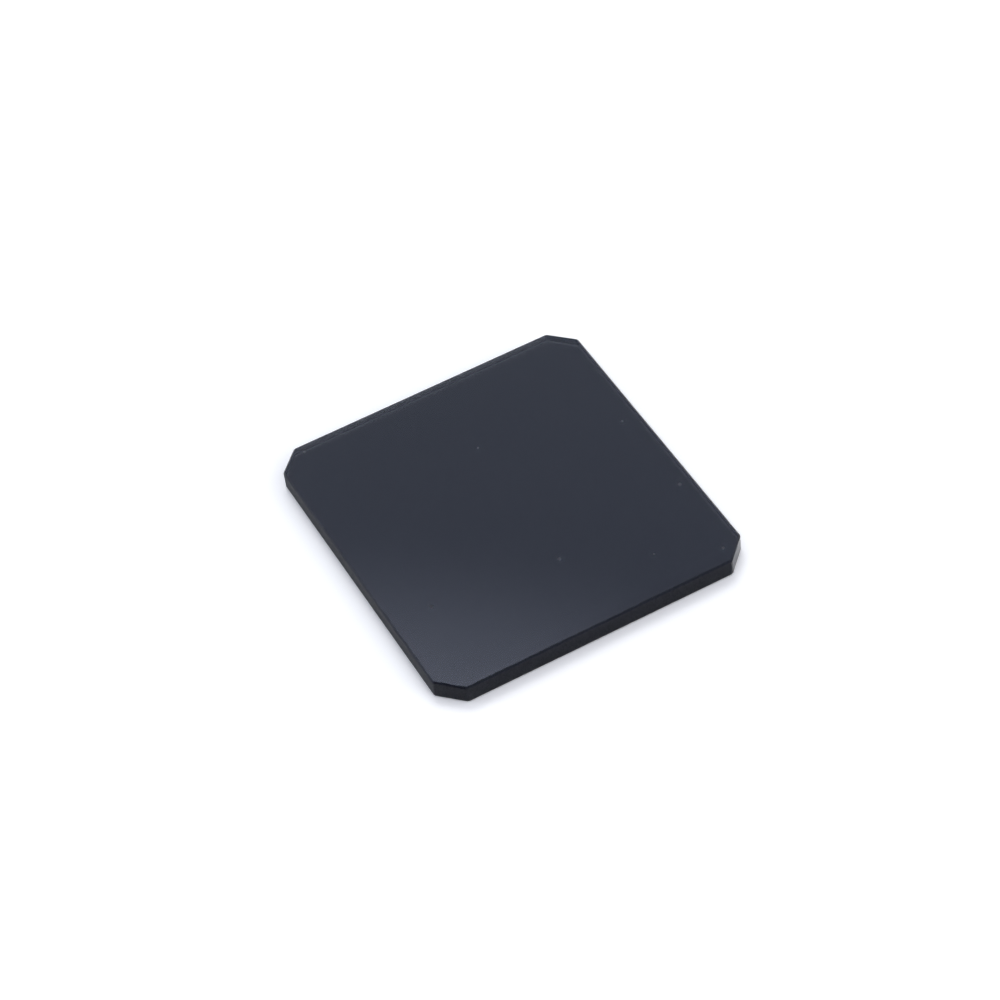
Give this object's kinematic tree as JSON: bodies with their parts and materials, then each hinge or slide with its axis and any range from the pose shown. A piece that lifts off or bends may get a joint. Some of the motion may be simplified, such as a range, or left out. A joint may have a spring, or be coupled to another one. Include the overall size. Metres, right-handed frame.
{
  "type": "neutral density filter",
  "caption": "Flat rectangular plate of dark tinted optical glass with cut corners, which dims the light that reaches a camera lens.",
  "frame": {"origin": "middle of the rear face, which the plate lies on", "axes": "+Z out of the front face, +Y along the longer side, +X along the shorter side"},
  "size_m": [0.024, 0.026, 0.0015],
  "materials": {
    "tinted_glass": "polished faces, finely ground edges, neutral grey tint"
  },
  "bodies": {
    "root": {"filter_plate": "tinted_glass"}
  },
  "joints": []
}
